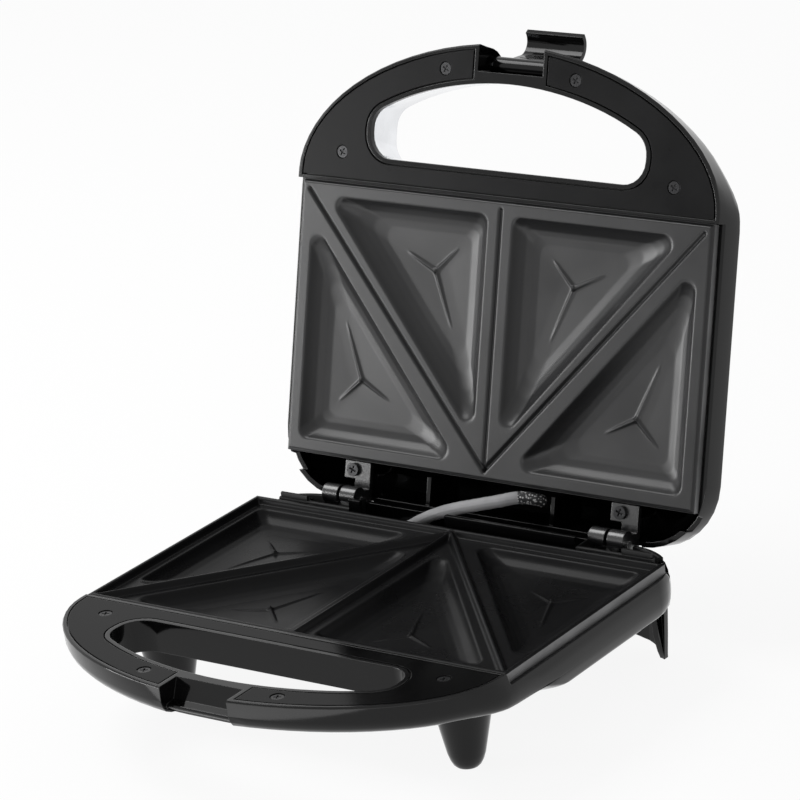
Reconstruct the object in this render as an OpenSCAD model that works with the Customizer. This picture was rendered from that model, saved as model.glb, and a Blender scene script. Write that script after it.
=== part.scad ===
// Sandwich toaster: two hinged housings with non-stick plates, standing open.
// Every half is drawn as a shell whose rim plane is z = 0 and whose depth runs
// along +z, away from the cooking plates. The lower half is that shell turned
// upside down, and the upper half is that shell laid on it and swung open.

/* [Cooking plates] */
// Width of a cooking plate
plate_w = 216; // [204:1:228]
// Depth of a cooking plate, front to back
plate_d = 125; // [118:1:136]
// Height of the plate's edge wall
plate_skirt = 8; // [7:0.5:9]
// Thickness of the plate casting
plate_t = 2.6; // [2:0.1:3.2]
// Depth of a pocket below the flat land
pocket_depth = 7; // [5.5:0.25:8]
// Flat land between a pocket and the plate's edge or a ridge
land_w = 6.8; // [6:0.1:8]
// Corner radius of a pocket at the land
pocket_round = 4.5; // [3:0.25:6]
// Height of the raised edge round the lower plate
edge_h = 3; // [2:0.1:3.5]
// Width of the raised edge round the lower plate
edge_w = 2.6; // [2:0.1:3.2]
// Width of a crimping ridge at its foot
ridge_w = 4.4; // [3.6:0.1:5]

/* [Housings] */
// How far the housing's rim stands outside the plate
rim_over = 2.4; // [2:0.1:4]
// How far the side walls belly out below the rim
bulge = 2.1; // [1.2:0.1:3.2]
// Reach of the handle in front of the plate
handle_reach = 68.6; // [66:0.2:76]
// Room behind the plate for the hinge
rear_space = 18.5; // [17.5:0.5:23]
// Radius of the rear corners in plan
rear_corner = 30; // [26:1:34]
// Wall thickness of the housings
wall = 2.4; // [2:0.1:2.8]
// Depth of the lower housing under its rim
base_depth = 26; // [25.5:0.5:31]
// Depth of the upper housing above its rim
lid_depth = 30; // [28:0.5:34]
// How far the side rims sit below the plate's edge
rim_drop = 4.5; // [3.5:0.25:5]
// Height of the plates over the table
stand_h = 52; // [50:1:58]
// Gap between the two halves when shut
shut_gap = 0.8; // [0.6:0.1:1.5]
// Angle between the halves when open
open_angle = 105.2; // [95:0.2:108]

/* [Handles] */
// Thickness of the lower handle
base_grip = 14.5; // [13.5:0.5:16]
// Thickness of the upper handle
lid_grip = 20.5; // [19.5:0.5:23]
// Width of the handle bar in front of the slot
bar_w = 17.5; // [16.5:0.25:19]
// Distance from the plate to the finger slot
slot_back = 12.7; // [11:0.5:15]
// Half the length of the finger slot
slot_half = 71; // [62:1:74]
// Corner radius of the finger slot
slot_round = 11; // [8:0.5:12]
// Thickness of the cover panel let into the handle
cover_t = 2; // [1.6:0.1:2.4]
// Housing rim left outside the cover panel
cover_band = 2.6; // [2.4:0.1:3.6]
// Housing lip left round the finger slot
lip_band = 2; // [1.7:0.1:2.6]
// Width of the groove round the cover panel
groove = 0.7; // [0.5:0.05:1]

/* [Latch] */
// Width of the notch in both handles
notch_w = 34; // [32:0.5:40]
// Width of the latch clip
clip_w = 30; // [24:0.5:31]
// Thickness of the latch clip
clip_t = 2.2; // [1.8:0.1:2.4]
// Radius of the clip's barrel
barrel_r = 4; // [3.4:0.1:4.2]
// Radius of the clip's pin
clip_pin_r = 1.2; // [1:0.05:1.4]
// Swing of the clip from open to hooked
clip_swing = 133.6; // [130:0.2:136]

/* [Hinges] */
// Distance of the hinge axis behind the plates
hinge_back = 17.3; // [16.5:0.1:18]
// Distance of the hinge axis below the rim plane
hinge_drop = 2.5; // [2:0.1:3]
// Distance of each hinge from the middle
hinge_x = 71; // [60:0.5:74]
// Radius of a hinge knuckle
knuckle_r = 4.4; // [4:0.1:4.8]
// Width of a hinge knuckle
knuckle_w = 8; // [6:0.5:8.5]
// Gap between two knuckles
knuckle_gap = 1.6; // [1.2:0.1:2.4]
// Radius of a hinge pin
hinge_pin_r = 1.5; // [1.2:0.05:1.8]

/* [Feet] */
// Distance of each front leg from the middle
leg_x = 76; // [60:1:82]
// Distance of the front legs behind the plate's front edge
leg_y = 13; // [10:1:24]
// Radius of a front leg at its foot
leg_foot_r = 7.2; // [6:0.1:8.5]
// Radius of a front leg where it meets the housing
leg_top_r = 12.5; // [10:0.5:15]
// Thickness of the foot pads
pad_t = 1.2; // [1:0.1:1.6]

/* [Hidden] */

$fn = 48;
tiny = 0.02;
fit = 0.05;          // radial clearance of a pin in its bore
seat = 0.3;          // clearance between pieces that sit by each other
over = 1;            // how far a cut runs past the face that it opens

rim_half = plate_w / 2 + rim_over;
front_y = -handle_reach;
curve_y = -4.4;      // where the handle's curve meets the straight sides
full = 1.06;         // power that shapes the handle's curve, 1 for an ellipse
rear_y = plate_d + rear_space;
hinge_y = plate_d + hinge_back;
hinge_z = -hinge_drop;

// ---- placing the two halves -------------------------------------------------

// y and z of a point of the shut lid once the lid stands open
function open_y(y, z) = hinge_y + cos(open_angle) * (y - hinge_y)
    + sin(open_angle) * (z - hinge_z);

// The clip, in shut-lid places: pin, leg and hook
clip_y = front_y + 10.3;
clip_z = 12.8;
leg_l = 18.8;
leg_lean = 10.7;
hook_r = 7;
hook_turn = 125;
hook_mid = [leg_l * sin(leg_lean) + hook_r * cos(leg_lean),
    leg_l * cos(leg_lean) - hook_r * sin(leg_lean)];
clip_far = clip_z + shut_gap + hook_mid[1] + hook_r + clip_t / 2;

// The footprint's middle lies on the origin
back_reach = open_y(clip_y - hook_mid[0], clip_far);
shift_y = -(back_reach + front_y) / 2;

module base_half() {
    translate([0, shift_y, stand_h]) mirror([0, 0, 1]) children();
}

module lid_half() {
    translate([0, shift_y + hinge_y, stand_h + hinge_z])
        rotate([-open_angle, 0, 0])
            translate([0, -hinge_y, shut_gap - hinge_z])
                children();
}

module mirrored() {
    children();
    mirror([1, 0, 0]) children();
}

// ---- plan outlines and lofts ------------------------------------------------

// Housing outline: half-ellipse in front, straight sides, round rear corners.
// The belly fades out towards the front, and a dip fades out behind the handle
function fade(y) = let (t = min(1, max(0, (y + 24) / 27))) t * t * (3 - 2 * t);
function late(y) = let (t = min(1, max(0, y / 34))) t * t * (3 - 2 * t);
function side_x(y, half, out, dip) = half + out * fade(y) - dip * (1 - late(y));
function plan(half, front, curve, rear, corner, out = 0, power = full, dip = 0, n = 36) = concat(
    [for (i = [0 : n]) let (a = 180 * i / n,
        y = curve - (curve - front) * pow(sin(a), power))
        [-side_x(y, half, out, dip) * sign(cos(a)) * pow(abs(cos(a)), power), y]],
    [for (d = [3, 8, 16, 26, 38]) [side_x(curve + d, half, out, dip), curve + d]],
    [for (i = [0 : 8]) let (a = 90 * i / 8)
        [half + out - corner + corner * cos(a), rear - corner + corner * sin(a)]],
    [for (i = [0 : 8]) let (a = 90 + 90 * i / 8)
        [-half - out + corner + corner * cos(a), rear - corner + corner * sin(a)]],
    [for (d = [38, 26, 16, 8, 3]) [-side_x(curve + d, half, out, dip), curve + d]]);

// Solid through outlines of equal point count, rings = [[z, points], ...],
// closed at both ends by a fan round the outline's middle
function middle(r) = let (s = [for (p = r[1]) 1] * r[1] / len(r[1])) [s[0], s[1], r[0]];

module loft(rings) {
    n = len(rings[0][1]);
    m = len(rings);
    polyhedron(
        points = concat([for (r = rings) for (p = r[1]) [p[0], p[1], r[0]]],
            [middle(rings[0]), middle(rings[m - 1])]),
        faces = concat(
            [for (i = [0 : n - 1]) [m * n, i, (i + 1) % n]],
            [for (i = [0 : n - 1]) [m * n + 1, (m - 1) * n + (i + 1) % n, (m - 1) * n + i]],
            [for (k = [0 : m - 2]) for (i = [0 : n - 1])
                [k * n + i, (k + 1) * n + i, (k + 1) * n + (i + 1) % n]],
            [for (k = [0 : m - 2]) for (i = [0 : n - 1])
                [k * n + i, (k + 1) * n + (i + 1) % n, k * n + (i + 1) % n]]));
}

// Flat plan of the handle's rim at an inset
module handle_plan(inset, rear = 0, draw = 0) {
    intersection() {
        polygon(plan(rim_half - draw - inset, front_y + inset, curve_y, 60, 5));
        translate([-200, -200]) square([400, 200 + rear]);
    }
}

// Front edge of the finger slot at a place across the handle
function bar_y(x, inset) = curve_y - (curve_y - front_y - inset)
    * pow(1 - pow(abs(x) / (rim_half - inset), 2 / full), full / 2);

// Finger slot grown by a margin, its rear edge moved back by a flare
function slot_ring(grow = 0, flare = 0) = let (r = slot_round + grow, inset = bar_w - grow,
    xt = slot_half + grow - 0.42 * r,
    m = bar_y(xt + 0.5, inset) - bar_y(xt - 0.5, inset),
    nx = m / sqrt(1 + m * m),
    ny = -1 / sqrt(1 + m * m),
    cx = xt - r * nx,
    cy = bar_y(xt, inset) - r * ny,
    a0 = atan2(ny, nx),
    rear = grow + flare - slot_back)
    concat([for (i = [-12 : 12]) [xt * i / 12, bar_y(xt * i / 12, inset)]],
        [for (i = [5 : -1 : 0]) [cx + r * cos(a0 * i / 6), cy + r * sin(a0 * i / 6)]],
        [for (i = [0 : 6]) [cx + r * cos(15 * i), rear - r + r * sin(15 * i)]],
        [for (i = [6 : -1 : 0]) [-cx - r * cos(15 * i), rear - r + r * sin(15 * i)]],
        [for (i = [0 : 5]) [-cx - r * cos(a0 * i / 6), cy + r * sin(a0 * i / 6)]]);

module slot_plan(grow = 0) {
    polygon(slot_ring(grow));
}

// Round bar along x between two x places
module x_bar(x0, x1, y, z, r) {
    translate([x0, y, z]) rotate([0, 90, 0]) cylinder(h = x1 - x0, r = r);
}

// ---- housings ---------------------------------------------------------------

// Side profiles: share of the depth, share of the belly, distance drawn in
base_side = [[0, 0, 0], [0.24, 0.4, 0], [0.48, 0.6, 0], [0.63, 0.5, 0], [0.74, 0.15, 0],
    [0.8, 0, 0.8], [0.88, 0, 3.8], [0.95, 0, 8.5], [1, 0, 16]];
lid_side = [[0, 0, 0], [0.2, 0.5, 0], [0.45, 1, 0], [0.52, 0.9, 0], [0.6, 0, 0.6],
    [0.68, 0, 3.6], [0.77, 0, 7], [0.85, 0, 12.5], [0.93, 0, 20], [1, 0, 34]];

// Rear line, share of the drawing in at the rear, how much narrower the handle
// is at its corners, and share of its lower edge's rounding kept at the sides
base_back = [1, 1, 2, 0.2];
lid_back = [0.2, 0.5, 0, 0];

// Front of the tub: behind the slot at first, then sloping back
function tub_front(z, grip, inset) = inset - slot_back + 0.4 + 1.7 * max(0, z - grip + 3);
function tub_curve(z) = curve_y + 2.8 * max(0, z - 4);

// Rear wall: back = [distance behind the rear line, share of the drawing in]
function tub_plan(z, p, grip, back, inset) = plan(rim_half - p[2] - inset,
    tub_front(z, grip, inset), tub_curve(z), rear_y + back[0] - p[2] * back[1] - inset,
    rear_corner - p[2] / 3 - inset, p[1] * bulge);

module tub(side, depth, grip, back, inset = 0, floor_t = 0) {
    loft([for (p = side) let (z = p[0] * (depth - floor_t))
        [z, tub_plan(z, p, grip, back, inset)]]);
}

// Side profile at any share of the depth
function side_at(side, share) = [share, lookup(share, [for (p = side) [p[0], p[1]]]),
    lookup(share, [for (p = side) [p[0], p[2]]])];

// Side profiles of the handles: share of the thickness, distance drawn in,
// and how much the curve is drawn in at its shoulders
base_grip_side = [[0, 0.6, 0], [0.05, 0, 0], [0.48, 0, 0.02], [0.69, 1, 0.03],
    [0.84, 2.7, 0.04], [0.95, 6, 0.04], [1, 9, 0.04]];
lid_grip_side = [[0, 0.6, 0], [0.04, 0, 0], [0.3, 1, 0.02], [0.58, 1.8, 0.045],
    [0.75, 3, 0.06], [0.88, 4.8, 0.08], [0.97, 7, 0.08], [1, 9, 0.08]];

// Outside of a half: handle and tub together down to the handle's thickness,
// then the tub alone
function grip_plan(q, p, back, z) = let (cut = q[1] * (0.8 - back[3])) plan(
    rim_half - back[2] - cut, front_y + q[1], curve_y,
    rear_y + back[0] - p[2] * back[1], rear_corner - p[2] / 3,
    back[2] * min(1, z / 5) + p[1] * bulge - p[2] + cut, full + q[2], q[1] * back[3]);

function outer_rings(side, grip_side, depth, grip, back) = let (below = grip + 0.1) concat(
    [for (q = grip_side) let (z = q[0] * grip)
        [z, grip_plan(q, side_at(side, z / depth), back, z)]],
    [[below, tub_plan(below, side_at(side, below / depth), grip, back, 0)]],
    [for (p = side) if (p[0] * depth > below + 0.4)
        [p[0] * depth, tub_plan(p[0] * depth, p, grip, back, 0)]]);

// Inside of the tub, open towards the plate
function room_rings(side, depth, grip, back) = [for (p = side) let (z = p[0] * (depth - wall))
    [z, plan(rim_half - p[2] - wall, max(-seat, tub_front(z, grip, wall + 1)),
        max(20, tub_curve(z)), rear_y + back[0] - p[2] * back[1] - wall,
        rear_corner - p[2] / 3 - wall, p[1] * bulge)]];

function backwards(v) = [for (i = [len(v) - 1 : -1 : 0]) v[i]];

// Outside and inside as one skin, turned over at the rim
module cup(outer, inner) {
    loft([for (r = concat(backwards(outer), inner)) [r[0], backwards(r[1])]]);
}

// Room under the cover panel, walled off from the tub
module grip_hollow(grip, draw) {
    translate([0, 0, cover_t - over]) linear_extrude(grip - wall - cover_t + over)
        difference() {
            handle_plan(cover_band + 2 * wall, -cover_band - wall, draw);
            slot_plan(lip_band + groove + 0.6 * wall);
            translate([-notch_w / 2 - 2 * wall, -200])
                square([notch_w + 4 * wall, 200 + front_y + bar_w + 2 * wall]);
        }
}

screw_x = [34, 87];
screw_back = [55.5, 13.8];

module at_cover_screws() {
    for (i = [0, 1]) for (side = [-1, 1])
        translate([side * screw_x[i], -screw_back[i], 0]) children();
}

// Shell common to both halves, before each half's own cuts
module shell(side, grip_side, depth, grip, back, flare) {
    difference() {
        cup(outer_rings(side, grip_side, depth, grip, back),
            room_rings(side, depth, grip, back));
        // the plate drops in here
        translate([-plate_w / 2 - seat, -seat, -over])
            cube([plate_w + 2 * seat, plate_d + rear_space / 2, over + plate_skirt + seat]);
        // side and rear rims stand below the plate's edge
        translate([-200, -seat, -over]) cube([400, 400, over + rim_drop]);
        // bed for the cover panel
        translate([0, 0, -over]) linear_extrude(over + cover_t) cover_plan(groove, back[2]);
        difference() {
            grip_hollow(grip, back[2]);
            at_cover_screws() cylinder(h = grip, r = 3.6);
        }
        at_cover_screws() cylinder(h = grip - wall, r = 1.3);
        slot_cut(grip, flare);
    }
}

// Finger slot through a handle, its rear wall drawn back towards the outside
module slot_cut(grip, flare, grow = 0) {
    loft([[-over, slot_ring(grow)], [2, slot_ring(grow)],
        [grip + 2 * over, slot_ring(grow, flare)]]);
}

module cover_plan(grow = 0, draw = 0) {
    difference() {
        handle_plan(cover_band - grow, grow - 2.4, draw);
        slot_plan(lip_band + groove - grow);
        translate([-notch_w / 2 - cover_band + grow, -200])
            square([notch_w + 2 * cover_band - 2 * grow, 200 + front_y + bar_w
                + lip_band + groove - grow]);
    }
}

base_ledge = base_grip - 6;     // depth of the catch lip's upper face
catch_t = 2.5;                  // thickness of the catch lip

module base_housing() {
    color("#111113") base_half() difference() {
        union() {
            difference() {
                shell(base_side, base_grip_side, base_depth, base_grip, base_back, 0.8);
                base_notch();
                // the rear wall is lower between the hinges and lowest round them
                translate([-hinge_x + 11, plate_d + seat, -over])
                    cube([2 * (hinge_x - 11), 60, over + rear_low]);
                mirrored() translate([hinge_x - 11 - tiny, plate_d + seat, -over])
                    cube([rim_half - rear_corner + 19 - hinge_x, 60, over + rear_clear]);
            }
            base_catch();
            mirrored() front_leg();
            mirrored() rear_foot();
            base_pillars();
            inner_wall();
            rear_strip();
        }
        base_screw_holes();
        // way out for the wire sleeve
        translate([-sleeve_gap[1], plate_d, -10])
            cube([sleeve_gap[1] - sleeve_gap[0], 9, 10 + sleeve_deep]);
        translate([-sleeve_gap[0] - over, plate_d, -10])
            cube([sleeve_gap[0] - 8 + over, 9, 14.5]);
        // hole for the cord gland
        translate([gland_x, rear_y - 6, gland_z]) rotate([-90, 0, 0])
            cylinder(h = 12, r = gland_r + fit);
        for (side = [-1, 1]) translate([side * leg_x, leg_y, stand_h - pad_t])
            cylinder(h = 5, r = pad_r + fit);
    }
}

rear_low = 1;             // drop of the rear wall between the hinges
rear_clear = 9;           // drop of the rear wall round the hinges
sleeve_gap = [36, 54];    // opening for the sleeve in the inner wall, from the middle
sleeve_deep = 22;
strip_top = 2.9;          // top of the rear wall, below the rim plane
inner_top = 3;            // height of the inner wall over the rim plane

// Wall behind the plate that closes the wiring space
module inner_wall() {
    translate([-hinge_x + 11, plate_d + 4.6, -inner_top])
        cube([2 * (hinge_x - 11), 2, base_depth - wall / 2 + inner_top]);
}

// Upper edge of the rear wall between the hinges, under the lid's rim
module rear_strip() {
    translate([-hinge_x + 11, rear_y + base_back[0] - wall, strip_top])
        cube([2 * (hinge_x - 11), wall, 8]);
}

// Notch in the lower handle, with a sloping inner face
module base_notch() {
    back = front_y + bar_w - 4.6;
    rotate([90, 0, 90]) translate([0, 0, -notch_w / 2]) linear_extrude(notch_w)
        polygon([[front_y - 6, -over], [back, -over], [back, 0],
            [back - 3.4, base_ledge], [back - 3.4, base_grip + 6],
            [front_y - 6, base_grip + 6]]);
}

// Lip at the foot of the notch that the clip hooks under
module base_catch() {
    back = front_y + bar_w - 4.6 - 3.4;
    rotate([90, 0, 90]) translate([0, 0, -notch_w / 2]) linear_extrude(notch_w)
        polygon([[back + 0.5, base_ledge], [front_y + 5, base_ledge + 0.6],
            [front_y + 4.4, base_ledge + 1.4], [front_y + 4.4, base_ledge + catch_t - 0.6],
            [front_y + 5, base_ledge + catch_t], [back + 0.5, base_ledge + catch_t]]);
}

module front_leg() {
    top = base_depth - 8;
    drop = stand_h - top;
    difference() {
        translate([leg_x, leg_y, top]) rotate_extrude($fn = 40)
            polygon([[0, 0], [leg_top_r + 1.5, 0], [leg_foot_r + 1, drop - 6.5],
                [leg_foot_r, drop - 3.4], [leg_foot_r - 1.1, drop - 1.3],
                [pad_r + 1.2, drop - 0.2], [pad_r + 0.8, drop], [0, drop]]);
        // clear of the tray over the element
        translate([0, reflector_y[0] - 1, 0]) cube([reflector_half + 1, 40, boss_end + sheet + 1]);
    }
}

pad_r = leg_foot_r - 3.4;

foot_wall = 2.6;      // thickness of the rear foot's blade
foot_out = rim_half - 14.2;     // outer edge of the rear foot at the table

// Rear foot: the rear wall carried down to the table at the corner, arched
// along its lower edge, with a rib in front of its outer end
module rear_foot() {
    back = rear_y + base_back[0];
    intersection() {
        translate([0, 0, 12]) linear_extrude(stand_h - 12) blade_plan(back);
        translate([0, back + over, 0]) rotate([90, 0, 0]) linear_extrude(40)
            polygon([[foot_out + 4.4, 12], [foot_out, stand_h], [foot_out - 2.6, stand_h],
                [foot_out - 3, stand_h - 2.4], [foot_out - 4.2, stand_h - 4.2],
                [foot_out - 6, stand_h - 5.4], [foot_out - 9, stand_h - 6.3],
                [foot_out - 13, stand_h - 7], [foot_out - 19, stand_h - 8.4],
                [foot_out - 25, stand_h - 11.4], [foot_out - 30, stand_h - 16],
                [foot_out - 34, stand_h - 22], [foot_out - 36, stand_h - 30],
                [foot_out - 36, 12]]);
    }
    translate([foot_out - 2.6, 0, 0]) rotate([90, 0, 90]) linear_extrude(2.6)
        polygon([[back - 12, base_depth - 6], [back - 3.4, base_depth - 6],
            [back - 3.2, stand_h], [back - 5.4, stand_h], [back - 7.4, stand_h - 4],
            [back - 10, stand_h - 12]]);
}

// The rear foot's blade in plan: round the corner, then along the rear wall
module blade_plan(back) {
    r = rear_corner;
    cx = rim_half + bulge - r;
    cy = back - r;
    polygon(concat(
        [for (a = [20 : 10 : 90]) [cx + r * cos(a), cy + r * sin(a)]],
        [[foot_out - 40, back], [foot_out - 40, back - foot_wall]],
        [for (a = [90 : -10 : 20]) let (q = r - foot_wall)
            [cx + q * cos(a), cy + q * sin(a)]]));
}

// Posts under the plate's bosses
boss_places = [[-plate_w / 4, plate_d / 2], [plate_w / 4, plate_d / 2],
    [0, 23], [0, plate_d - 14]];
boss_r = 3.6;
boss_end = plate_skirt + 11.4;   // depth where the plate's bosses end
sheet = 0.8;                    // thickness of the pressed sheet parts

module at_bosses() {
    for (p = boss_places) translate([p[0], p[1], 0]) children();
}

module base_pillars() {
    at_bosses() translate([0, 0, boss_end + sheet])
        cylinder(h = base_depth - boss_end - sheet - wall / 2, r = 5);
}

module base_screw_holes() {
    at_bosses() translate([0, 0, boss_end]) cylinder(h = 30, r = 1.7);
    at_bosses() translate([0, 0, base_depth - 2.2]) cylinder(h = 5, r = 3.3);
}

module base_handle_cover() {
    color("#0b0b0c") base_half() handle_cover(base_back[2]);
}

module handle_cover(draw) {
    difference() {
        linear_extrude(cover_t - tiny) cover_plan(0, draw);
        at_cover_screws() translate([0, 0, -over]) cylinder(h = 5, r = 1.6);
        at_cover_screws() translate([0, 0, -over]) cylinder(h = over + 1.1, r = 3.1);
    }
}

// Cross-head screw: head down at z = 0, shank along +z
module screw(head_r, head_h, shank_r, shank_l) {
    difference() {
        union() {
            cylinder(h = head_h, r = head_r, $fn = 32);
            cylinder(h = head_h + shank_l, r = shank_r, $fn = 24);
        }
        for (a = [0, 90]) rotate([0, 0, a])
            translate([-head_r * 0.6, -0.35, -0.1]) cube([head_r * 1.2, 0.7, head_h * 0.6 + 0.1]);
    }
}

module cover_screws() {
    at_cover_screws() translate([0, 0, 0.3]) rotate([0, 0, 28]) screw(2.8, 0.8, 1.25, 8);
}

module base_cover_screws() {
    color("#26272a") base_half() cover_screws();
}

// ---- cooking plates ---------------------------------------------------------

// Triangle's inner radius and centre
function side_l(a, b) = norm(a - b);
function tri_area(t) = abs((t[1] - t[0])[0] * (t[2] - t[0])[1]
    - (t[1] - t[0])[1] * (t[2] - t[0])[0]) / 2;
function tri_round(t) = side_l(t[0], t[1]) + side_l(t[1], t[2]) + side_l(t[2], t[0]);
function tri_in(t) = 2 * tri_area(t) / tri_round(t);
function tri_mid(t) = (side_l(t[1], t[2]) * t[0] + side_l(t[2], t[0]) * t[1]
    + side_l(t[0], t[1]) * t[2]) / tri_round(t);
function edge_dir(a, b) = atan2((b - a)[1], (b - a)[0]) - 90;

// Triangle inset by a distance, with round corners, as points
function ring(t, inset, r, n = 5) = let (c = tri_mid(t), q = tri_in(t),
    k = 1 - (inset + r) / q)
    [for (i = [0 : 2]) let (p = c + (t[i] - c) * k,
        a0 = edge_dir(t[(i + 2) % 3], t[i]),
        a1 = edge_dir(t[i], t[(i + 1) % 3]),
        turn = (a1 - a0 + 720) % 360)
        for (j = [0 : n]) let (a = a0 + turn * j / n)
            [p[0] + r * cos(a), p[1] + r * sin(a)]];

// Cells between the ridges, right half: in front of and behind the diagonal
front_cell = [[0, 0], [plate_w / 2, 0], [0, plate_d]];
side_cell = [[plate_w / 2, 0], [plate_w / 2, plate_d], [0, plate_d]];

// Pocket with coved walls and a low three-sided floor
module pocket(cell, grow = 0) {
    d = pocket_depth + grow;
    loft(concat([[-over, ring(cell, land_w - grow, pocket_round + grow)]],
        [for (s = [[0, 0], [0.2, 0.7], [0.45, 2.2], [0.7, 4.6], [0.86, 7.6], [0.93, 11]])
            [s[0] * d, ring(cell, land_w - grow + s[1],
                max(1, pocket_round + grow - s[1] * 0.3))]],
        [[d, ring(cell, tri_in(cell) - 2, 0.8)]]));
}

module pockets(grow = 0) {
    mirrored() {
        pocket(front_cell, grow);
        pocket(side_cell, grow);
    }
}

// Casting common to both plates, with its land at the given depth
module plate_body(land) {
    difference() {
        union() {
            translate([-plate_w / 2, 0, land]) cube([plate_w, plate_d, plate_t]);
            // edge wall
            translate([-plate_w / 2, 0, land]) difference() {
                cube([plate_w, plate_d, plate_skirt - land]);
                translate([plate_t, plate_t, -over])
                    cube([plate_w - 2 * plate_t, plate_d - 2 * plate_t, plate_skirt + 2 * over]);
            }
            translate([0, 0, land]) intersection() {
                pockets(plate_t);
                translate([-plate_w / 2 + 1, 1, 0])
                    cube([plate_w - 2, plate_d - 2, 30]);
            }
            at_bosses() translate([0, 0, land + 1]) cylinder(h = boss_end - land - 1, r = boss_r);
        }
        translate([0, 0, land]) pockets();
        at_bosses() translate([0, 0, boss_end - 8]) cylinder(h = 9, r = 1.2);
    }
}

// Straight ridge of triangular section between two plan points
module ridge(a, b, z0, h, w) {
    l = norm(b - a);
    turn = atan2((b - a)[1], (b - a)[0]);
    translate([a[0], a[1], z0]) rotate([0, 0, turn]) rotate([90, 0, 90])
        linear_extrude(l) polygon([[-w / 2, 0.2], [-w / 2, 0], [-0.5, -h],
            [0.5, -h], [w / 2, 0], [w / 2, 0.2]]);
}

// Ridge lines from the middle of the rear edge to the front
function ridge_ends(gap) = [
    [[0, plate_d - gap], [plate_w / 2 - gap, gap]],
    [[0, plate_d - gap], [-plate_w / 2 + gap, gap]],
    [[0, plate_d - gap], [0, gap]]];

module base_plate() {
    color("#1a1b1d") base_half() union() {
        plate_body(edge_h);
        // raised edge
        difference() {
            translate([-plate_w / 2, 0, 0]) cube([plate_w, plate_d, edge_h + 0.5]);
            translate([-plate_w / 2 + edge_w, edge_w, -over])
                cube([plate_w - 2 * edge_w, plate_d - 2 * edge_w, edge_h + 3]);
        }
        for (e = ridge_ends(edge_w)) ridge(e[0], e[1], edge_h, edge_h - 0.4, ridge_w);
        translate([0, plate_d - edge_w - 2, 0.6]) cylinder(h = edge_h, r = 1.8);
    }
}

module lid_plate() {
    step = 2.4;
    color("#3f4043") lid_half() difference() {
        plate_body(0);
        // narrow grooves opposite the ridges
        for (e = ridge_ends(step + 2)) groove_line(e[0], e[1]);
        // step back to the flange
        difference() {
            translate([-plate_w / 2 - over, -over, -over])
                cube([plate_w + 2 * over, plate_d + 2 * over, over + 1.4]);
            translate([-plate_w / 2 + 0.9, 0.9, -2 * over])
                cube([plate_w - 1.8, plate_d - 1.8, 10]);
        }
    }
}

module groove_line(a, b) {
    l = norm(b - a);
    turn = atan2((b - a)[1], (b - a)[0]);
    translate([a[0], a[1], 0]) rotate([0, 0, turn]) rotate([90, 0, 90])
        linear_extrude(l) polygon([[-0.7, -over], [0.7, -over], [0.7, 0], [0, 0.9], [-0.7, 0]]);
}

// ---- heating ----------------------------------------------------------------

element_r = 2.5;
element_z = boss_end - element_r - 0.6;
element_leg = plate_w / 2 - 42;
element_y = [plate_d / 2 - 24, plate_d / 2 + 24];

// Sheathed element: two straight legs joined by a bend, with cold ends
module element() {
    x0 = -element_leg;
    x1 = element_leg - 24;
    for (y = element_y) x_bar(x0, x1, y, element_z, element_r);
    translate([x1, plate_d / 2, element_z]) rotate([0, 0, -90])
        rotate_extrude(angle = 180, $fn = 48) translate([24, 0]) circle(r = element_r, $fn = 24);
    for (y = element_y) x_bar(x0 - 8, x0 + 1, y, element_z, element_r * 0.72);
    for (y = element_y) translate([x0 - 13, y - 2.2, element_z - 0.4]) cube([7, 4.4, 0.8]);
}

module base_element() {
    color("#5b5f63") base_half() element();
}

module lid_element() {
    color("#5b5f63") lid_half() element();
}

// Saddle straps that hold the element's legs to the reflector
clamp_x = [-plate_w / 4 - 6, plate_w / 4 - 30];

module element_clamps() {
    for (x = clamp_x) for (y = element_y) translate([x, y, element_z]) difference() {
        union() {
            rotate([0, 90, 0]) cylinder(h = 8, r = element_r + 0.7);
            translate([0, -9, element_r - 0.7 + seat]) cube([8, 18, 0.7 + tiny]);
        }
        translate([-1, 0, 0]) rotate([0, 90, 0]) cylinder(h = 10, r = element_r + fit);
        translate([-1, -20, element_r + seat]) cube([10, 40, 10]);
    }
}

module base_element_clamps() {
    color("#9a9da1") base_half() element_clamps();
}

module lid_element_clamps() {
    color("#9a9da1") lid_half() element_clamps();
}

reflector_half = plate_w / 2 - 36;
reflector_y = [18, plate_d - 4];

// Pressed tray behind the element, screwed to the plate's bosses
module reflector(top) {
    z0 = boss_end;
    difference() {
        union() {
            translate([-reflector_half, reflector_y[0], z0])
                cube([2 * reflector_half, reflector_y[1] - reflector_y[0], sheet]);
            difference() {
                translate([-reflector_half, reflector_y[0], top])
                    cube([2 * reflector_half, reflector_y[1] - reflector_y[0], z0 - top + tiny]);
                translate([-reflector_half + sheet, reflector_y[0] + sheet, top - over])
                    cube([2 * (reflector_half - sheet),
                        reflector_y[1] - reflector_y[0] - 2 * sheet, z0 - top + 2 * over]);
            }
        }
        at_bosses() translate([0, 0, z0 - over]) cylinder(h = 4, r = 1.8);
        // room for the bosses that stand in the tray's wall, and for the cold ends
        for (y = element_y) translate([-reflector_half - over, y - 5, top - over])
            cube([6, 10, z0 - top + over - 1]);
        for (y = element_y) translate([-element_leg - 14, y - 4, element_z - 4])
            cube([20, 8, 4 + element_r - 0.4]);
    }
}

module base_reflector() {
    color("#b9bcc0") base_half() reflector(boss_end - 6.3);
}

module lid_reflector() {
    color("#b9bcc0") lid_half() reflector(boss_end - 6.3);
}

module base_plate_screws() {
    color("#9a9da1") base_half() at_bosses() translate([0, 0, base_depth - 0.4])
        mirror([0, 0, 1]) screw(3, 1.6, 1.15, base_depth - 0.4 - 1.6 - boss_end + 6);
}

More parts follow.
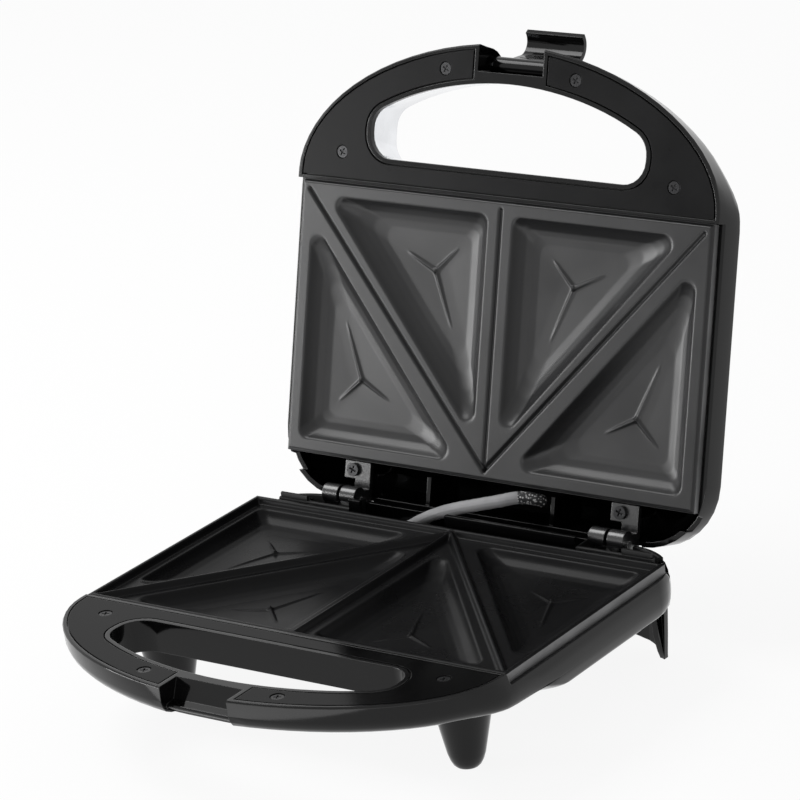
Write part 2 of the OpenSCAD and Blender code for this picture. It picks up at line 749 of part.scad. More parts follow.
module lid_plate_screws() {
    color("#9a9da1") lid_half() at_bosses() translate([0, 0, boss_end + sheet + 1.6])
        mirror([0, 0, 1]) screw(3, 1.6, 1.15, sheet + 6);
}

// Snap-disc thermostat strapped to the lower reflector
module thermostat() {
    color("#d9d4c7") base_half() translate([30, plate_d / 2, boss_end + sheet]) {
        cylinder(h = 2.2, r = 8);
        cylinder(h = 2.9, r = 6.5);
        for (side = [-1, 1]) translate([side * 10 - 3.5, -2.4, 1]) cube([7, 4.8, 0.8]);
    }
}

module thermal_fuse() {
    color("#c9b27a") base_half() translate([-36, plate_d / 2, boss_end + sheet + 1.6]) {
        rotate([0, 90, 0]) cylinder(h = 11, r = 1.5);
        translate([-8, 0, 0]) rotate([0, 90, 0]) cylinder(h = 27, r = 0.5);
    }
}

gland_x = 34;
gland_z = 14;
gland_r = 5.5;

// Mains terminals behind the inner wall
module terminal_block() {
    color("#e8e4da") base_half() translate([-12, plate_d + 6.6 + seat, 9]) difference() {
        cube([24, 6.8, 11]);
        for (x = [5, 12, 19]) translate([x, 3.4, -1]) cylinder(h = 5, r = 1.6);
        for (x = [5, 12, 19]) translate([x, -1, 6.4]) rotate([-90, 0, 0]) cylinder(h = 9, r = 1.4);
    }
}

// Rubber bush in the rear wall where the mains lead goes in
module cord_gland() {
    color("#161617") base_half() translate([gland_x, rear_y - 4, gland_z]) rotate([-90, 0, 0])
        difference() {
            union() {
                cylinder(h = 8.6, r = gland_r);
                translate([0, 0, 7.4]) cylinder(h = 1.6, r = gland_r + 1.6);
                cylinder(h = 1.2, r = gland_r - 0.01);
            }
            translate([0, 0, -1]) cylinder(h = 12, r = 3.3);
        }
}

// Rubber discs let into the ends of the front legs
module foot_pads() {
    color("#1c1c1d") base_half() mirrored() translate([leg_x, leg_y, stand_h - pad_t])
        cylinder(h = pad_t, r = pad_r);
}

// ---- hinges -----------------------------------------------------------------

// Inner faces of the knuckles, base knuckle on the -x side of each hinge
module base_hinge_arms() {
    color("#232427") base_half() for (side = [-1, 1])
        translate([side * hinge_x - knuckle_gap / 2 - knuckle_w, 0, 0]) base_arm();
}

// Knuckle with an upright eye; lift = how far the eye rises in y and z
module ear_plan(lift) {
    circle(r = knuckle_r);
    translate(lift) circle(r = knuckle_r);
    rotate(atan2(lift[1], lift[0])) translate([0, -knuckle_r])
        square([norm(lift), 2 * knuckle_r]);
}

ear_lift = [-1.4, 2.4];

module base_arm() {
    w = knuckle_w;
    difference() {
        union() {
            translate([0, hinge_y, hinge_drop]) rotate([90, 0, 90]) linear_extrude(w)
                ear_plan([ear_lift[0], -ear_lift[1]]);
            // arm down to its foot
            translate([0, hinge_y - knuckle_r, hinge_drop]) cube([w, 2.6, 15]);
            translate([0, hinge_y - 14, hinge_drop + 12]) cube([w, 14 - knuckle_r + 2.6, 3]);
        }
        x_bar(-1, w + 1, hinge_y, hinge_drop, hinge_pin_r);
        translate([w / 2, arm_screw_y, hinge_drop + 10]) cylinder(h = 8, r = 1.7);
    }
}

arm_screw_y = hinge_y - 10;

module base_hinge_screws() {
    color("#9a9da1") base_half() for (side = [-1, 1])
        translate([side * hinge_x - knuckle_gap / 2 - knuckle_w / 2, arm_screw_y, hinge_drop + 10.4])
            screw(2.6, 1.6, 1.3, 8);
}

// Steel pins, fast in the lower knuckles
module hinge_pins() {
    color("#b4b7bb") base_half() for (side = [-1, 1])
        x_bar(side * hinge_x - knuckle_gap / 2 - knuckle_w,
            side * hinge_x + knuckle_gap / 2 + knuckle_w, hinge_y, hinge_drop, hinge_pin_r);
}

lid_screw_y = plate_d + 4.6;
lid_foot_z = 2.4;

// Upper knuckle on a hooked arm, screwed to a post of the upper housing
module lid_hinge_arms() {
    color("#232427") lid_half() for (side = [-1, 1]) translate([side * hinge_x, 0, 0]) lid_arm();
}

module lid_arm() {
    x0 = knuckle_gap / 2;
    w = knuckle_w;
    pz = hinge_z - shut_gap;
    difference() {
        union() {
            translate([x0, hinge_y, pz]) rotate([90, 0, 90]) linear_extrude(w)
                ear_plan([ear_lift[0] * cos(open_angle) - ear_lift[1] * sin(open_angle),
                    ear_lift[0] * sin(open_angle) + ear_lift[1] * cos(open_angle)]);
            rotate([90, 0, 90]) translate([0, 0, x0]) linear_extrude(w)
                polygon([[hinge_y - knuckle_r, pz], [hinge_y + knuckle_r, pz],
                    [hinge_y + 1.2, lid_foot_z + 2.6], [lid_screw_y - 3, lid_foot_z + 2.6],
                    [lid_screw_y - 3, lid_foot_z], [hinge_y - 4.6, lid_foot_z]]);
            translate([-5, lid_screw_y - 3.9, lid_foot_z]) cube([x0 + w + 5, 8, 2.6]);
        }
        x_bar(x0 - 1, x0 + w + 1, hinge_y, pz, hinge_pin_r + fit);
        translate([0, lid_screw_y, -1]) cylinder(h = 10, r = 1.7);
    }
}

module lid_hinge_screws() {
    color("#2b2c2f") lid_half() for (side = [-1, 1])
        translate([side * hinge_x, lid_screw_y, lid_foot_z - 1.6])
            rotate([0, 0, 20]) screw(3, 1.6, 1.3, 9);
}

// ---- wire sleeve ------------------------------------------------------------

sleeve_r = 2.9;
// Points along the sleeve: x, y from the plate's front edge, z from the rim plane
sleeve_route = [[-50, 128, -17], [-44, 131.4, -14.8], [-37, 134.8, -11.2], [-30, 136.8, -7],
    [-21.5, 138.6, -2.4], [-11, 140, 1.6], [1.7, 141.6, 5.1], [12.4, 143.5, 7.8],
    [19.4, 146.2, 9.3], [23.5, 149, 8.9], [26.5, 152, 7.6], [28, 155.5, 5.6]];

function unit(v) = v / norm(v);
function along(pts, i) = unit(pts[min(i + 1, len(pts) - 1)] - pts[max(i - 1, 0)]);

// Tube along a list of points, one polyhedron
module tube(pts, r, n) {
    m = len(pts);
    up = [0, 0, 1];
    rings = [for (i = [0 : m - 1]) let (t = along(pts, i), s = unit(cross(up, t)), u = cross(t, s))
        for (j = [0 : n - 1]) let (a = 360 * j / n) pts[i] + r * (cos(a) * s + sin(a) * u)];
    polyhedron(points = rings, faces = concat(
        [[for (j = [0 : n - 1]) n - 1 - j]],
        [[for (j = [0 : n - 1]) (m - 1) * n + j]],
        [for (i = [0 : m - 2]) for (j = [0 : n - 1])
            [i * n + j, i * n + (j + 1) % n, (i + 1) * n + (j + 1) % n]],
        [for (i = [0 : m - 2]) for (j = [0 : n - 1])
            [i * n + j, (i + 1) * n + (j + 1) % n, (i + 1) * n + j]]));
}

module wire_sleeve() {
    color("#7a7b7c") translate([0, shift_y, stand_h]) tube(sleeve_route, sleeve_r, 12);
}

// ---- lid --------------------------------------------------------------------

rib_x = 33;
lamp_x = 11;
lamp_y = 16;
lens_r = 3.6;

module lid_housing() {
    color("#111113") lid_half() difference() {
        union() {
            difference() {
                shell(lid_side, lid_grip_side, lid_depth, lid_grip, lid_back, lid_flare);
                // clip's notch, right through the handle
                translate([-notch_w / 2, front_y - 6, -over])
                    cube([notch_w, bar_w + 6 - 4.6, lid_grip + 2 * over]);
                x_bar(-notch_w / 2, notch_w / 2, clip_y, clip_z, barrel_r + seat + 0.1);
                // rear wall open round the hinges
                for (side = [-1, 1])
                    translate([side * hinge_x - knuckle_gap / 2 - knuckle_w - 1.6, hinge_y - 4, -over])
                        cube([2 * knuckle_w + knuckle_gap + 3.2, 20, over + 8]);
            }
            // ribs and posts inside the rear wall
            intersection() {
                union() {
                    mirrored() translate([rib_x - 1, plate_d + 3.4, 7])
                        cube([2, rear_space, lid_depth - 9]);
                    mirrored() translate([hinge_x, lid_screw_y, lid_foot_z + 2.6])
                        cylinder(h = lid_depth, r = 4.2);
                    at_bosses() translate([0, 0, boss_end + sheet + 2])
                        cylinder(h = lid_depth, r = 4.6);
                }
                tub(lid_side, lid_depth, lid_grip, lid_back, wall / 2, wall / 2);
            }
        }
        x_bar(-notch_w / 2 - 3.2, notch_w / 2 + 3.2, clip_y, clip_z, clip_pin_r);
        mirrored() translate([hinge_x, lid_screw_y, 0]) cylinder(h = 16, r = 1.35);
        at_bosses() cylinder(h = boss_end + sheet + 4.4, r = 3.4);
        // slot widened for its bright liner
        loft([[liner_z, slot_ring(liner_t + fit, liner_back)],
            [lid_grip + 2 * over, slot_ring(liner_t + fit, lid_flare)]]);
        for (x = [-lamp_x, lamp_x]) translate([x, lamp_y, 5]) cylinder(h = lid_depth, r = lens_r + fit);
    }
}

liner_z = 3;
liner_t = 0.8;
lid_flare = 4.2;
liner_back = lid_flare * (liner_z - 2) / lid_grip;

module lid_handle_cover() {
    color("#2c2d2f") lid_half() handle_cover(lid_back[2]);
}

module lid_cover_screws() {
    color("#26272a") lid_half() cover_screws();
}

// Bright liner of the finger slot, with a flat flange on the outside
module lid_slot_liner() {
    top = lid_grip + 0.7;
    color("#d7dadd") lid_half() difference() {
        union() {
            difference() {
                loft([[liner_z + seat - 0.1, slot_ring(liner_t, liner_back)],
                    [lid_grip + 2 * over, slot_ring(liner_t, lid_flare)]]);
                translate([-200, -200, top]) cube([400, 400, 10]);
            }
            translate([0, 0, lid_grip + 0.12]) linear_extrude(0.58)
                polygon(slot_ring(1.6, lid_flare - 0.6));
        }
        slot_cut(lid_grip, lid_flare);
    }
}

// Neon lamps in their tubes, and the lenses over them
module indicator_lamps() {
    color("#e9c9a0") lid_half() for (x = [-lamp_x, lamp_x])
        translate([x, lamp_y, boss_end + sheet + 0.6]) cylinder(h = 6.4, r = 2.1);
}

module lens() {
    translate([0, 0, boss_end + sheet + 0.4]) difference() {
        union() {
            cylinder(h = lid_depth - boss_end - sheet - 0.4, r = lens_r);
            translate([0, 0, lid_depth - boss_end - sheet - 0.4])
                intersection() {
                    translate([0, 0, -4]) sphere(r = 5.4);
                    cylinder(h = 3, r = lens_r);
                }
        }
        translate([0, 0, -0.1]) cylinder(h = 7.4, r = 2.4);
    }
}

module lamp_lens_power() {
    color("#c4161c") lid_half() translate([-lamp_x, lamp_y, 0]) lens();
}

module lamp_lens_ready() {
    color("#1f9a3c") lid_half() translate([lamp_x, lamp_y, 0]) lens();
}

// ---- latch ------------------------------------------------------------------

// Clip in its open place: barrel, leg and hook, drawn in the y-z plane
module latch_clip() {
    color("#141416") lid_half() translate([-clip_w / 2, clip_y, clip_z]) difference() {
        rotate([90, 0, 90]) linear_extrude(clip_w) difference() {
            union() {
                circle(r = barrel_r);
                rotate(90 + leg_lean) translate([0, -clip_t / 2]) square([leg_l + 0.3, clip_t]);
                hook_plan();
            }
            circle(r = clip_pin_r + fit);
        }
        // two small slots by the clip's left edge
        for (k = [0.42, 0.74]) translate([3, -leg_l * k * sin(leg_lean), leg_l * k])
            rotate([leg_lean, 0, 0]) translate([0, -4, -0.8]) cube([5, 8, 1.4]);
    }
}

// Arc of the hook, starting along the leg
module hook_plan() {
    translate([-hook_mid[0], hook_mid[1]]) difference() {
        circle(r = hook_r + clip_t / 2);
        circle(r = hook_r - clip_t / 2);
        hook_cut();
    }
}

// Everything outside the hook's arc
module hook_cut() {
    a0 = leg_lean;
    far = 3 * hook_r;
    span = 360 - hook_turn;
    polygon(concat([[0, 0]], [for (i = [0 : 6]) let (a = a0 - span * i / 6)
        far * [cos(a), sin(a)]]));
}

module latch_pin() {
    color("#b4b7bb") lid_half()
        x_bar(-notch_w / 2 - 3, notch_w / 2 + 3, clip_y, clip_z, clip_pin_r);
}

base_housing();
base_handle_cover();
base_cover_screws();
base_plate();
base_element();
base_element_clamps();
base_reflector();
base_plate_screws();
thermostat();
thermal_fuse();
terminal_block();
cord_gland();
foot_pads();
base_hinge_arms();
hinge_pins();
base_hinge_screws();
wire_sleeve();
lid_housing();
lid_handle_cover();
lid_cover_screws();
lid_slot_liner();
lid_plate();
lid_element();
lid_element_clamps();
lid_reflector();
lid_plate_screws();
lid_hinge_arms();
lid_hinge_screws();
indicator_lamps();
lamp_lens_power();
lamp_lens_ready();
latch_clip();
latch_pin();
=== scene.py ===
import math

import bmesh
import bpy
import numpy as np
from mathutils import Matrix, Vector


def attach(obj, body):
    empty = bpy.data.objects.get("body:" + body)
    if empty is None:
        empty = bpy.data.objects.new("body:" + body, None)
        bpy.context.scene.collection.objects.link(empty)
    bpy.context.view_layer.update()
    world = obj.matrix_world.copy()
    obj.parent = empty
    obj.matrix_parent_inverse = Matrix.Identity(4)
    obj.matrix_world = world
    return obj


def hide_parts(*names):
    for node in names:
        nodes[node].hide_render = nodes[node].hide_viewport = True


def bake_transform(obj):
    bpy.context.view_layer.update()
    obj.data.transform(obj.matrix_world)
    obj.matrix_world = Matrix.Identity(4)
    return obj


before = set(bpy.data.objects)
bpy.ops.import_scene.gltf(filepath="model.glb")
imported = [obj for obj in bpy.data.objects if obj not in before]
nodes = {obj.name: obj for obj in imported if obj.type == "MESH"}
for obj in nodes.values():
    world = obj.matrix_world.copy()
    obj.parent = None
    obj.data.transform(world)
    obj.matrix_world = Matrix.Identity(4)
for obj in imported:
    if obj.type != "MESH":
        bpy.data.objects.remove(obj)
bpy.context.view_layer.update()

# ---- Table and studio -------------------------------------------------------
# The toaster stands on a pale table under soft boxes: a broad one from the left,
# one overhead, a long low one in front that draws the grey band on its walls.

scene = bpy.context.scene
scene.view_settings.view_transform = "Standard"


def new_material(name):
    material = bpy.data.materials.new(name)
    material.use_nodes = True
    tree = material.node_tree
    tree.nodes.clear()
    return material, tree, tree.nodes.new("ShaderNodeOutputMaterial")


def wire(tree, source, target):
    tree.links.new(source, target)


def background_rays(tree):
    """1 for camera, glossy and transmission rays, which all see the same white."""
    rays = tree.nodes.new("ShaderNodeLightPath")
    seen = rays.outputs["Is Camera Ray"]
    for kind in ("Is Glossy Ray", "Is Transmission Ray"):
        either = tree.nodes.new("ShaderNodeMath")
        either.operation = "MAXIMUM"
        wire(tree, seen, either.inputs[0])
        wire(tree, rays.outputs[kind], either.inputs[1])
        seen = either.outputs[0]
    return seen


table_mesh = bpy.data.meshes.new("table_top")
table_mesh.from_pydata(
    [(-6, -6, 0), (6, -6, 0), (6, 6, 0), (-6, 6, 0)], [], [(0, 1, 2, 3)])
table = bpy.data.objects.new("table_top", table_mesh)
scene.collection.objects.link(table)
table_paint, tree, output = new_material("table_paint")
matt = tree.nodes.new("ShaderNodeBsdfDiffuse")
matt.inputs["Color"].default_value = (0.86, 0.86, 0.86, 1)
glow = tree.nodes.new("ShaderNodeEmission")
glow.inputs["Strength"].default_value = 1.0
share = tree.nodes.new("ShaderNodeMath")
share.operation = "MULTIPLY"
share.inputs[1].default_value = 0.9
wire(tree, background_rays(tree), share.inputs[0])
mix = tree.nodes.new("ShaderNodeMixShader")
wire(tree, share.outputs[0], mix.inputs[0])
wire(tree, matt.outputs[0], mix.inputs[1])
wire(tree, glow.outputs[0], mix.inputs[2])
wire(tree, mix.outputs[0], output.inputs[0])
table_mesh.materials.append(table_paint)

world = bpy.data.worlds.new("studio")
scene.world = world
world.use_nodes = True
tree = world.node_tree
tree.nodes.clear()
output = tree.nodes.new("ShaderNodeOutputWorld")
soft = tree.nodes.new("ShaderNodeBackground")
soft.inputs["Color"].default_value = (1, 1, 1, 1)
soft.inputs["Strength"].default_value = 0.5
white = tree.nodes.new("ShaderNodeBackground")
white.inputs["Color"].default_value = (1, 1, 1, 1)
white.inputs["Strength"].default_value = 1.0
mix = tree.nodes.new("ShaderNodeMixShader")
wire(tree, background_rays(tree), mix.inputs[0])
wire(tree, soft.outputs[0], mix.inputs[1])
wire(tree, white.outputs[0], mix.inputs[2])
wire(tree, mix.outputs[0], output.inputs[0])


def soft_box(name, place, aim, size, power):
    lamp = bpy.data.lights.new(name, "AREA")
    lamp.shape = "RECTANGLE"
    lamp.size, lamp.size_y = size
    lamp.energy = power
    lamp_object = bpy.data.objects.new(name, lamp)
    lamp_object.location = place
    turn = (Vector(aim) - Vector(place)).to_track_quat("-Z", "Y")
    lamp_object.rotation_euler = turn.to_euler()
    lamp_object.visible_camera = False
    scene.collection.objects.link(lamp_object)


soft_box("box_left", (-1.35, -0.95, 0.30), (0, 0, 0.1), (0.75, 0.5), 18)
soft_box("box_top", (-0.85, -0.15, 1.35), (0, 0, 0.1), (0.8, 0.8), 13)
soft_box("panel_front", (-0.1, -0.35, 0.004), (-0.1, -0.35, 1), (1.2, 0.3), 2.6)
soft_box("box_front", (0.15, -1.6, 0.16), (0, 0, 0.05), (1.1, 0.12), 3)

camera = bpy.data.cameras.new("camera")
camera.sensor_width = 36
camera.lens = 182.66
camera.clip_end = 50
camera_object = bpy.data.objects.new("camera", camera)
azimuth, height_angle, roll = (math.radians(a) for a in (36.01, 19.62, -5.25))
back = Vector((math.sin(azimuth) * math.cos(height_angle),
               -math.cos(azimuth) * math.cos(height_angle), math.sin(height_angle)))
right = Vector((math.cos(azimuth), math.sin(azimuth), 0))
up = back.cross(right)
right_rolled = math.cos(roll) * right + math.sin(roll) * up
up_rolled = -math.sin(roll) * right + math.cos(roll) * up
camera_object.matrix_world = Matrix.Translation((0.9643, -1.31777, 0.7078)) @ Matrix(
    (right_rolled, up_rolled, back)).transposed().to_4x4()
scene.collection.objects.link(camera_object)
scene.camera = camera_object

# ---- Lower housing ----------------------------------------------------------
# One moulding in gloss black plastic: handle with its finger slot, side walls
# and four feet. The other black mouldings of the toaster share its finish.

STAND = 52.0            # rim plane over the table, mm
SHIFT = -84.47          # plates' front edge from the middle of the footprint, mm
HINGE_Y, HINGE_Z = 142.3, -2.5
SHUT_GAP = 0.8
OPEN = math.radians(105.2)

base_place = Matrix.Translation((0, SHIFT, STAND)) @ Matrix.Diagonal((1, 1, -1, 1))
lid_place = (Matrix.Translation((0, SHIFT + HINGE_Y, STAND + HINGE_Z))
             @ Matrix.Rotation(-OPEN, 4, "X")
             @ Matrix.Translation((0, -HINGE_Y, SHUT_GAP - HINGE_Z)))
to_metres = Matrix.Diagonal((0.001, 0.001, 0.001, 1))


def finish(name, colour, roughness, metal=0.0, level=0.5, spread=0.06, grain=2600.0,
           bump=0.02, mottle=0.12, edge=0.0, coat=0.0, stretch=(1, 1, 1)):
    """Principled surface: colour and gloss drift a little, and a fine grain lifts it."""
    material, tree, output = new_material(name)
    make = tree.nodes.new
    shade = make("ShaderNodeBsdfPrincipled")
    shade.inputs["Metallic"].default_value = metal
    shade.inputs["Specular IOR Level"].default_value = level
    shade.inputs["Coat Weight"].default_value = coat
    shade.inputs["Coat Roughness"].default_value = 0.06
    place = make("ShaderNodeTexCoord")
    scaled = make("ShaderNodeMapping")
    scaled.inputs["Scale"].default_value = stretch
    wire(tree, place.outputs["Object"], scaled.inputs["Vector"])
    cloud = make("ShaderNodeTexNoise")
    cloud.inputs["Scale"].default_value = 38.0
    cloud.inputs["Detail"].default_value = 6.0
    wire(tree, scaled.outputs[0], cloud.inputs["Vector"])
    tint = make("ShaderNodeValToRGB")
    tint.color_ramp.elements[0].position = 0.3
    tint.color_ramp.elements[1].position = 0.72
    tint.color_ramp.elements[0].color = tuple(c * (1 - mottle) for c in colour) + (1,)
    tint.color_ramp.elements[1].color = tuple(c * (1 + mottle) for c in colour) + (1,)
    wire(tree, cloud.outputs["Fac"], tint.inputs["Fac"])
    wire(tree, tint.outputs["Color"], shade.inputs["Base Color"])
    dull = make("ShaderNodeMapRange")
    dull.inputs["From Min"].default_value = 0.3
    dull.inputs["From Max"].default_value = 0.75
    dull.inputs["To Min"].default_value = max(0.02, roughness - spread)
    dull.inputs["To Max"].default_value = roughness + spread
    wire(tree, cloud.outputs["Fac"], dull.inputs["Value"])
    wire(tree, dull.outputs["Result"], shade.inputs["Roughness"])
    fine = make("ShaderNodeTexNoise")
    fine.inputs["Scale"].default_value = grain
    fine.inputs["Detail"].default_value = 3.0
    wire(tree, scaled.outputs[0], fine.inputs["Vector"])
    lift = make("ShaderNodeBump")
    lift.inputs["Strength"].default_value = 1.0
    lift.inputs["Distance"].default_value = bump * 0.001
    wire(tree, fine.outputs["Fac"], lift.inputs["Height"])
    if edge:
        worn = make("ShaderNodeBevel")
        worn.samples = 6
        worn.inputs["Radius"].default_value = edge * 0.001
        wire(tree, worn.outputs["Normal"], lift.inputs["Normal"])
    wire(tree, lift.outputs["Normal"], shade.inputs["Normal"])
    wire(tree, shade.outputs[0], output.inputs[0])
    return material


def paint(material, *names):
    """Gives CAD nodes whose own shape stays a finish."""
    for name in names:
        mesh = nodes[name].data
        mesh.materials.clear()
        mesh.materials.append(material)


def smoothed(name, node, material, body, angle=32):
    """A node's own form with its curved faces shaded as the smooth curves they are."""
    mesh = nodes[node].data.copy()
    mesh.name = name
    build = bmesh.new()
    build.from_mesh(mesh)
    bmesh.ops.remove_doubles(build, verts=build.verts, dist=2e-6)
    bmesh.ops.dissolve_degenerate(build, dist=2e-6, edges=build.edges)
    for face in build.faces:
        face.smooth = True
    for edge in build.edges:
        if len(edge.link_faces) == 2:
            edge.smooth = edge.calc_face_angle(0) < math.radians(angle)
    build.to_mesh(mesh)
    build.free()
    if "custom_normal" in mesh.attributes:
        mesh.attributes.remove(mesh.attributes["custom_normal"])
    mesh.materials.clear()
    mesh.materials.append(material)
    piece = bpy.data.objects.new(name, mesh)
    scene.collection.objects.link(piece)
    even = piece.modifiers.new("even_shading", "WEIGHTED_NORMAL")
    even.keep_sharp = True
    even.mode = "FACE_AREA_WITH_ANGLE"
    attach(piece, body)
    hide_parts(node)
    return piece


gloss_black = finish("gloss_black_plastic", (0.0015, 0.0015, 0.0016), 0.1, level=0.26,
                     spread=0.03, grain=900, bump=0.005, edge=0.5)
lower_shell = smoothed("lower_shell", "base_housing", gloss_black, "base")

# ---- Rear webs of the lower housing -----------------------------------------
# Moulded walls beside and behind each hinge: one stands straight behind the plate
# with a lip and a short return, one carries the rear wall's edge round the corner.


def base_point(x, y, depth):
    return base_place @ Vector((x, y, depth)) * 0.001


def wall_strip(build, line, thick, top, bottom):
    """Upright wall along a line in plan, with a softly rounded upper edge."""
    rings = []
    for i, (x, y) in enumerate(line):
        ahead = Vector(line[min(i + 1, len(line) - 1)]) - Vector(line[max(i - 1, 0)])
        side = Vector((-ahead.y, ahead.x)).normalized() * thick / 2
        rings.append([build.verts.new(base_point(x + k * side.x, y + k * side.y, z))
                      for k, z in ((-1, bottom), (-1, top + 0.5), (-0.75, top + 0.12), (0, top),
                                   (0.75, top + 0.12), (1, top + 0.5), (1, bottom))])
    for one, two in zip(rings, rings[1:]):
        for k in range(7):
            build.faces.new((one[k], one[(k + 1) % 7], two[(k + 1) % 7], two[k]))
    build.faces.new(rings[0][::-1])
    build.faces.new(rings[-1])


build = bmesh.new()
for side in (-1, 1):
    wall_strip(build, [(side * x, 130.6) for x in (60.2, 73, 86, 99)], 2.0, 1.2, 13.8)
    wall_strip(build, [(side * x, 130.6) for x in (83.5, 91, 98)], 1.6, -1.2, 3)
    wall_strip(build, [(side * 60.6, y) for y in (130.6, 137, 143.2)], 1.2, 1.2, 9)
    corner = [math.radians(2 + 4 * k) for k in range(10)]
    wall_strip(build, [(side * (80.4 + 29.6 * math.sin(a)), 113.5 + 29.8 * math.cos(a))
                       for a in corner], 2.2, 2.9, 9.6)
bmesh.ops.recalc_face_normals(build, faces=build.faces)
mesh = bpy.data.meshes.new("rear_webs")
build.to_mesh(mesh)
build.free()
mesh.polygons.foreach_set("use_smooth", [True] * len(mesh.polygons))
mesh.set_sharp_from_angle(angle=math.radians(50))
inner_black = finish("inner_black_plastic", (0.0015, 0.0015, 0.0016), 0.5, level=0.2,
                     grain=1200, bump=0.02)
mesh.materials.append(inner_black)
webs = bpy.data.objects.new("rear_webs", mesh)
scene.collection.objects.link(webs)
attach(webs, "base")

# ---- Lower handle's cover ---------------------------------------------------
# Panel moulded in the same gloss black, let into the handle's bed and held by four dark
# cross-head screws. Its copy of the finish is painted shade: it reflects far less, so its upward
# face stays dark.

# painted shade: a darker, barely reflecting copy of the housing's gloss black for the upward-facing
# cover
cover_black_with_painted_shade = finish("cover_black_plastic_painted_shade", (0.0012, 0.0012, 0.0013), 0.12, level=0.06,
                     spread=0.03, grain=1100, bump=0.006, edge=0.4)
lower_cover = smoothed("lower_cover", "base_handle_cover", cover_black_with_painted_shade, "base")
dark_steel = finish("black_zinc", (0.02, 0.02, 0.021), 0.3, metal=0.7, spread=0.08,
                    grain=1800, bump=0.02, edge=0.25)
paint(dark_steel, "base_cover_screws", "lid_cover_screws", "lid_hinge_screws")

# ---- Feet and cord gland ----------------------------------------------------
# Soft black rubber pads in the front legs, and the rubber gland through which
# the mains lead leaves the rear wall.

rubber = finish("black_rubber", (0.018, 0.018, 0.018), 0.72, level=0.35, grain=1500,
                bump=0.05, edge=0.3)
paint(rubber, "foot_pads", "cord_gland")

# ---- Heating parts inside the base ------------------------------------------
# Pressed aluminium tray, steel-sheathed element on saddle straps, thermostat,
# thermal fuse and terminal block; the lid has the same tray and element.

aluminium = finish("pressed_aluminium", (0.62, 0.63, 0.64), 0.34, metal=1.0, spread=0.1,
                   grain=700, bump=0.02, stretch=(1, 6, 1))
paint(aluminium, "base_reflector", "lid_reflector")
sheath = finish("element_sheath", (0.16, 0.165, 0.17), 0.42, metal=0.8, spread=0.1,
                grain=1600, bump=0.03)
paint(sheath, "base_element", "lid_element")
zinc = finish("bright_zinc", (0.55, 0.56, 0.58), 0.28, metal=1.0, spread=0.08,
              grain=1300, bump=0.015, edge=0.15)
paint(zinc, "base_element_clamps", "lid_element_clamps", "base_plate_screws",
      "lid_plate_screws", "base_hinge_screws", "latch_pin")
steatite = finish("steatite", (0.62, 0.58, 0.5), 0.6, grain=1200, bump=0.05)
paint(steatite, "thermostat")
fuse_cover = finish("fuse_sleeving", (0.45, 0.44, 0.4), 0.7, grain=2400, bump=0.05)
paint(fuse_cover, "thermal_fuse")
terminal = finish("terminal_plastic", (0.5, 0.5, 0.48), 0.45, grain=1400, bump=0.02)
paint(terminal, "terminal_block")

# ---- Lower cooking plate ----------------------------------------------------
# Aluminium casting under the non-stick coat, darker and less glossy than the upper plate's as
# painted shade:
# raised edge, ridges that cut the bread in four, coved pockets with a pressed three-legged crease.

HALF_W, PLATE_D, PLATE_T, SKIRT = 108.0, 125.0, 2.6, 8.0    # half width, depth, wall, skirt
LEDGE = 5.4             # underside of the plate's thin floor round the skirt
LAND_W, POCKET_ROUND, POCKET_DEPTH = 6.8, 4.5, 7.0
cells = [np.array([(0, 0), (HALF_W, 0), (0, PLATE_D)], float),
         np.array([(HALF_W, 0), (HALF_W, PLATE_D), (0, PLATE_D)], float)]
creases = [  # middle of the crease, then the ends of its three arms; x outwards
    [(36.5, 35.4), (24.9, 23.9), (52.2, 28.0), (26.1, 60.3)],
    [(72.8, 89.0), (83.2, 63.5), (57.3, 96.9), (84.8, 99.9)]]


def step(low, high, value):
    t = np.clip((value - low) / (high - low), 0, 1)
    return t * t * (3 - 2 * t)


def line_gap(x, y, a, b):
    """Distance to a segment, and how far along it the nearest point lies."""
    (ax, ay), (bx, by) = a, b
    along = np.clip(((x - ax) * (bx - ax) + (y - ay) * (by - ay))
                    / ((bx - ax) ** 2 + (by - ay) ** 2), 0, 1)
    return np.hypot(x - ax - along * (bx - ax), y - ay - along * (by - ay)), along


def inset(x, y, cell):
    """How far a point lies inside a cell whose corners are rounded."""
    middle = cell.mean(0)
    sides = []
    for i in range(3):
        a, b = cell[i], cell[(i + 1) % 3]
        normal = np.array((a[1] - b[1], b[0] - a[0])) / np.hypot(*(b - a))
        normal *= np.sign(normal @ (middle - a))
        sides.append(((x - a[0]) * normal[0] + (y - a[1]) * normal[1], normal))
    depth = np.minimum(np.minimum(sides[0][0], sides[1][0]), sides[2][0])
    for i in range(3):
        corner = cell[i]
        n0, n1 = sides[i][1], sides[(i + 2) % 3][1]
        split = (n0 + n1) / np.hypot(*(n0 + n1))
        half_sin = float(split @ n0)
        half_cos = math.sqrt(1 - half_sin ** 2)
        u = (x - corner[0]) * split[0] + (y - corner[1]) * split[1]
        w = np.abs((x - corner[0]) * split[1] - (y - corner[1]) * split[0])
        r = POCKET_ROUND
        near = w <= r * half_cos
        bend = (u + np.sqrt(np.maximum(0, r * r - w * w))) * half_sin - r
        depth = np.where(near, np.minimum(depth, bend), depth)
    return depth


cove_in = np.array((-3, 0, 0.7, 2.2, 4.6, 7.6, 11.0, 30.0))
cove_z = np.array((0, 0, 0.2, 0.45, 0.7, 0.86, 0.93, 1.0))
fine_in = np.arange(-3, 30, 0.05)
kernel = np.exp(-0.5 * (np.arange(-30, 31) * 0.05 / 0.34) ** 2)
fine_z = np.convolve(np.pad(np.interp(fine_in, cove_in, cove_z), 30, mode="edge"),
                     kernel / kernel.sum(), mode="valid")


